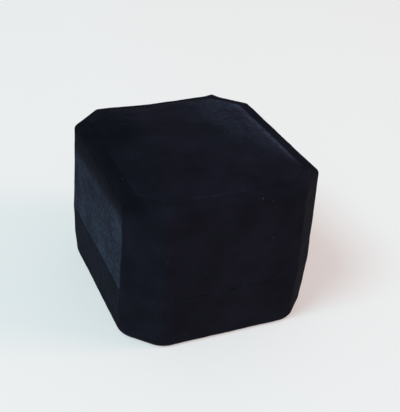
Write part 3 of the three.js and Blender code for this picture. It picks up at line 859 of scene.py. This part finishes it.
def collar_wrap():
    """Velvet folded over the collar that locates the lid. It stops on each side of the hinge."""
    low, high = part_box("collar_velvet")
    outer, skin = HALF_X - high.x, 0.3 * MM
    inner = outer + 1.6 * MM
    fold = (inner - outer) / 2
    top, hem, inner_hem = high.z, SEAM - 5.5 * MM, low.z
    profile = [(outer, hem, 0)]
    profile += line((outer, hem), (outer, top - fold), 10)
    # A painted highlight runs along the fold.
    profile += arc((outer + fold, top - fold), fold, 180, 0, 10, painted_light=0.25)
    profile += line((inner, top - fold), (inner, inner_hem), 16)
    profile += [(inner, inner_hem, 0), (inner - skin, inner_hem, 0)]
    profile += line((inner - skin, inner_hem), (inner - skin, top - fold), 6)
    profile += arc((outer + fold, top - fold), fold - skin, 0, 180, 6)
    profile += line((outer + skin, top - fold), (outer + skin, hem), 4)
    profile += [(outer + skin, hem, 0)]
    obj = sleeve("collar_velvet_fold", profile, no_lean, gap=WINDOW_HALF)
    ruffle(obj, 0.05 * MM, 4 * MM, 6)
    smooth(obj)
    finish_piece(obj, "velvet", "base", ["collar_velvet"])
    strip_size(profile, gap=WINDOW_HALF)


def roll_plan(side, inset, slot_half):
    """The plan of one roll, and its corners: straight along the slot, with its far corners cut."""
    x, far = HALF_X - inset, HALF_Y - inset
    leg = cut_leg(inset)
    corners = [
        (-x, slot_half), (x, slot_half), (x, far - leg), (x - leg, far), (leg - x, far), (-x, far - leg),
    ]
    corners = [np.array(c) for c in corners]
    reach, step = 0.9 * MM, 0.75 * MM

    def edge_steps(_, length):
        return max(2, round(length / step))

    return round_corners(corners, reach, 4, edge_steps) * [1, side], [c * [1, side] for c in corners]


def edge_distances(points, corners):
    """Each point's distance inside each edge of a convex polygon."""
    middle = sum(corners) / len(corners)
    found = []
    for i, corner in enumerate(corners):
        along = corners[(i + 1) % len(corners)] - corner
        across = np.array([-along[1], along[0]]) / np.linalg.norm(along)
        if np.dot(middle - corner, across) < 0:
            across = -across
        found.append((points - corner) @ across)
    return np.array(found)


def roll_mesh(name, side, low, high):
    """One roll of the ring cushion in the box from low to high, rounder along the slot than elsewhere."""
    inset = HALF_X - high.x
    slot_half = min(abs(low.y), abs(high.y))
    slot_round, edge_round = 4.2 * MM, 2.0 * MM
    crown = 0.35 * MM
    spine_half = 11 * MM
    wall_rings, top_rings, shrink = 9, 25, 0.97
    rim, corners = roll_plan(side, inset, slot_half)
    spine_y = side * (slot_half + (HALF_Y - inset - slot_half) / 2)
    spine = np.column_stack([np.clip(rim[:, 0], -spine_half, spine_half), np.full(len(rim), spine_y)])
    loops = []
    for k in range(wall_rings):
        z = low.z + (high.z - slot_round - low.z) * k / wall_rings
        loops.append(np.column_stack([rim, np.full(len(rim), z)]))
    for k in range(top_rings + 1):
        scale = 1 - shrink * (k / top_rings) ** 1.25
        ring = spine + (rim - spine) * scale
        gaps = np.maximum(edge_distances(ring, corners), 0)
        slot_fall = round_off(gaps[0], slot_round)
        edge_fall = round_off(gaps[1:].min(axis=0), edge_round)
        rise = crown * (scale**2)
        loops.append(np.column_stack([ring, high.z - rise - np.maximum(slot_fall, edge_fall)]))
    sides = len(rim)
    verts = np.concatenate(loops)
    last = (len(loops) - 1) * sides
    faces = ring_faces(len(loops), sides, False)
    faces.append(tuple(range(last, last + sides)))
    faces.append(tuple(range(sides - 1, -1, -1)))
    obj = new_object(name, verts, faces)
    face_out(obj)
    even_out(obj, 0.55 * MM)
    return obj


def cushion_roll(side, place):
    """A foam roll in its velvet cover, which is a little slack."""
    low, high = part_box("roll_velvet_" + place)

    def held(co):
        return np.clip((low.z + 3.5 * MM - co[:, 2]) / (3 * MM), 0, 1)

    def above_tray(co):
        return np.clip((co[:, 2] - low.z) / (6 * MM), 0, 1)

    obj = roll_mesh("roll_velvet_cover_" + place, side, low, high)
    inflate(obj, held, pressure=2.5, cap=0.5 * MM, grow=0.02)
    ruffle(obj, 0.12 * MM, 5 * MM, 7 + side, where=above_tray)
    smooth(obj, 60)
    finish_piece(obj, "velvet", "base", ["roll_velvet_" + place])


def round_off(distance, radius):
    """How far a rounded edge has dropped at a distance inside it."""
    short = 1 - np.minimum(distance / radius, 1)
    return radius * (1 - np.sqrt(np.maximum(1 - short**2, 0)))


def lining_pad():
    """The lid's satin lining: puffed over its foam and drawn up round the edge, so that it wrinkles."""
    low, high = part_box("lid_lining_satin")
    skirt, edge_rise, edge_width = 0.5 * MM, 1.2 * MM, 0.7 * MM
    swell = 0.35 * MM
    foot = high.z - skirt
    crown = foot - low.z - edge_rise - swell

    def held(co):
        return np.clip((co[:, 2] - foot + 0.3 * MM) / (0.3 * MM), 0, 1)

    def below_foot(co):
        return np.clip((foot - co[:, 2]) / (2 * MM), 0, 1)

    obj = pad_mesh("lid_lining_pad", HALF_X - high.x, foot, skirt, edge_rise, edge_width, crown, -1)
    inflate(obj, held, pressure=2.0, cap=0.8 * MM, sink=0.25 * MM, grow=0.05, stiffness=8.0)
    ruffle(obj, 0.06 * MM, 3 * MM, 9, where=below_foot)
    smooth(obj, 70)
    finish_piece(obj, "satin", "lid", ["lid_lining_satin"])


def lining_strip():
    """Satin over a card strip round the lid's inner walls, cut away above the hinge's leaf."""
    low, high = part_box("lid_lining_strip")
    outer, inner = TURN_OUT, TURN_OUT + 0.7 * MM
    roll = (inner - outer) / 2
    profile = [(outer, high.z, 0)]
    profile += line((outer, high.z), (outer, low.z + roll), 8)
    profile += arc((outer + roll, low.z + roll), roll, 180, 360, 8)
    profile += line((inner, low.z + roll), (inner, high.z), 24)
    profile += [(inner, high.z, 0)]

    def below_top(co):
        return (np.abs(co[:, 2] - high.z) > 0.3 * MM) * 1.0

    obj = sleeve("lid_lining_satin_strip", profile, lid_lean)
    co = coords(obj)
    leaf_top = SEAM + 8 * MM
    over_leaf = (np.abs(co[:, 0]) < WINDOW_HALF) & (co[:, 1] > HALF_Y - 6 * MM)
    co[over_leaf, 2] = np.maximum(co[over_leaf, 2], leaf_top)
    set_coords(obj, co)
    ruffle(obj, 0.06 * MM, 3.5 * MM, 10, where=below_top)
    smooth(obj)
    finish_piece(obj, "satin", "lid", ["lid_lining_strip"])
    strip_size(profile, lid_lean)


def bent_strip(name, path, half_width, thickness, steps_across):
    """A strip of even thickness along path's (y, z) points, reaching half_width each way along X."""
    path = np.array(path)
    ahead = np.gradient(path, axis=0)
    ahead /= np.linalg.norm(ahead, axis=1)[:, None]
    across = np.column_stack([-ahead[:, 1], ahead[:, 0]]) * thickness / 2
    section = np.vstack([path + across, (path - across)[::-1]])
    count = len(section)
    loops = []
    for k in range(steps_across + 1):
        x = half_width * (2 * k / steps_across - 1)
        loops.append(np.column_stack([np.full(count, x), section]))
    verts = np.concatenate(loops)
    faces = ring_faces(len(loops), count, False)
    half = count // 2
    for first in (0, steps_across * count):
        for j in range(half - 1):
            faces.append((first + j, first + j + 1, first + count - 2 - j, first + count - 1 - j))
    obj = new_object(name, verts, faces)
    add_painted_light(obj, np.zeros(len(verts)))
    face_out(obj)
    return obj


def hinge_strip():
    """The velvet strip over the knuckles at the back."""
    low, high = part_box("hinge_cover")
    thickness = 0.45 * MM
    radius = high.y - HINGE_Y - thickness / 2
    reach = math.radians(46)
    steps = 16
    angles = [reach * (2 * k / steps - 1) for k in range(steps + 1)]
    path = [(HINGE_Y + radius * math.cos(a), SEAM + radius * math.sin(a)) for a in angles]
    obj = bent_strip("hinge_cover_strip", path, high.x, thickness, 60)
    ruffle(obj, 0.04 * MM, 2 * MM, 11)
    smooth(obj)
    finish_piece(obj, "velvet", None, ["hinge_cover"])
    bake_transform(obj)


def spring_strip():
    """The bowed steel spring across the hinge's inner side, a foot on each leaf."""
    low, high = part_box("snap_spring")
    thickness = 0.3 * MM
    bow_half = 4.2 * MM
    foot = high.y - thickness / 2
    bow = foot - low.y - thickness / 2
    half = (high.z - low.z) / 2
    steps = 40
    path = []
    for k in range(steps + 1):
        z = half * (2 * k / steps - 1)
        lift = math.cos(min(abs(z) / bow_half, 1) * math.pi) / 2 + 0.5
        path.append((foot - bow * lift, SEAM + z))
    obj = bent_strip("snap_spring_strip", path, high.x, thickness, 4)
    smooth(obj, 35)
    finish_piece(obj, "steel", None, ["snap_spring"])
    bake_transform(obj)


def carried_over():
    """Gives the CAD nodes that stay in view their materials."""
    slots = {s["node"]: s["material_slot"] for s in frame["record"]["subparts"]}
    for name, node in frame["nodes"].items():
        if node.hide_render:
            continue
        node.data.materials.clear()
        node.data.materials.append(MATERIALS[slots[name]])


lid_wrap()
base_wrap()
top_panel()
collar_wrap()
for side, place in ((-1, "front"), (1, "back")):
    cushion_roll(side, place)
lining_pad()
lining_strip()
hinge_strip()
spring_strip()
carried_over()


# --- Stage ------------------------------------------------------------------------------------------
def camera():
    """A tabletop view from the box's front left, a little tilted."""
    azimuth, elevation, roll = (math.radians(a) for a in (-24.58, 31.99, 3.98))
    width = 2 * HALF_X
    distance = 4.138 * width
    aim = Vector((0, 0, 0.4 * width))
    level = math.cos(elevation)
    back = Vector((math.sin(azimuth) * level, -math.cos(azimuth) * level, math.sin(elevation)))
    right = (-back).cross(Vector((0, 0, 1))).normalized()
    up = right.cross(-back)
    across = math.cos(roll) * right + math.sin(roll) * up
    above = -math.sin(roll) * right + math.cos(roll) * up
    data = bpy.data.cameras.new("camera")
    data.lens = 70.84
    data.shift_x, data.shift_y = 0.0269, 0.0042
    data.clip_start = 0.01
    obj = bpy.data.objects.new("camera", data)
    turn = Matrix((across, above, back)).transposed().to_4x4()
    obj.matrix_world = Matrix.Translation(aim + back * distance) @ turn
    bpy.context.scene.collection.objects.link(obj)
    bpy.context.scene.camera = obj


def floor():
    """A wide plain surface under the box."""
    size = 3.0
    corners = [(-size, -size, 0), (size, -size, 0), (size, size, 0), (-size, size, 0)]
    obj = new_object("floor", corners, [(0, 1, 2, 3)])
    obj.data.materials.append(floor_material())


def area_light(name, place, size, power, colour):
    """A round soft light that shines at the box."""
    data = bpy.data.lights.new(name, "AREA")
    data.shape = "DISK"
    data.size = size
    data.energy = power
    data.color = colour
    obj = bpy.data.objects.new(name, data)
    obj.location = place
    obj.rotation_euler = (Vector((0, 0, SEAM)) - Vector(place)).to_track_quat("-Z", "Y").to_euler()
    bpy.context.scene.collection.objects.link(obj)


def lights():
    """Cool soft light from the left, a weaker warm one from the right, and a room tinted the same way."""
    world = bpy.data.worlds.new("studio")
    bpy.context.scene.world = world
    world.use_nodes = True
    tree = world.node_tree
    background = tree.nodes["Background"]
    direction = add(tree, "SeparateXYZ", {"Vector": add(tree, "TexCoord").outputs["Generated"]}).outputs
    rightwards = spread(tree, direction["X"], -0.7, 0.7)
    upwards = spread(tree, direction["Z"], 0.0, 0.9)
    walls = blend_colour(tree, rightwards, rgb(0.80, 0.97, 1.0), rgb(1.0, 0.88, 0.78))
    room = blend_colour(tree, upwards, rgb(0.35, 0.37, 0.40), walls)
    tree.links.new(room, background.inputs["Color"])
    background.inputs["Strength"].default_value = 0.4
    area_light("cool_key", place=(-1.15, -0.35, 1.60), size=0.9, power=21.0, colour=(0.56, 0.90, 1.0))
    area_light("warm_fill", place=(1.30, -0.60, 0.85), size=0.7, power=9.0, colour=(1.0, 0.50, 0.46))


camera()
floor()
lights()
bpy.context.scene.view_settings.view_transform = "Standard"
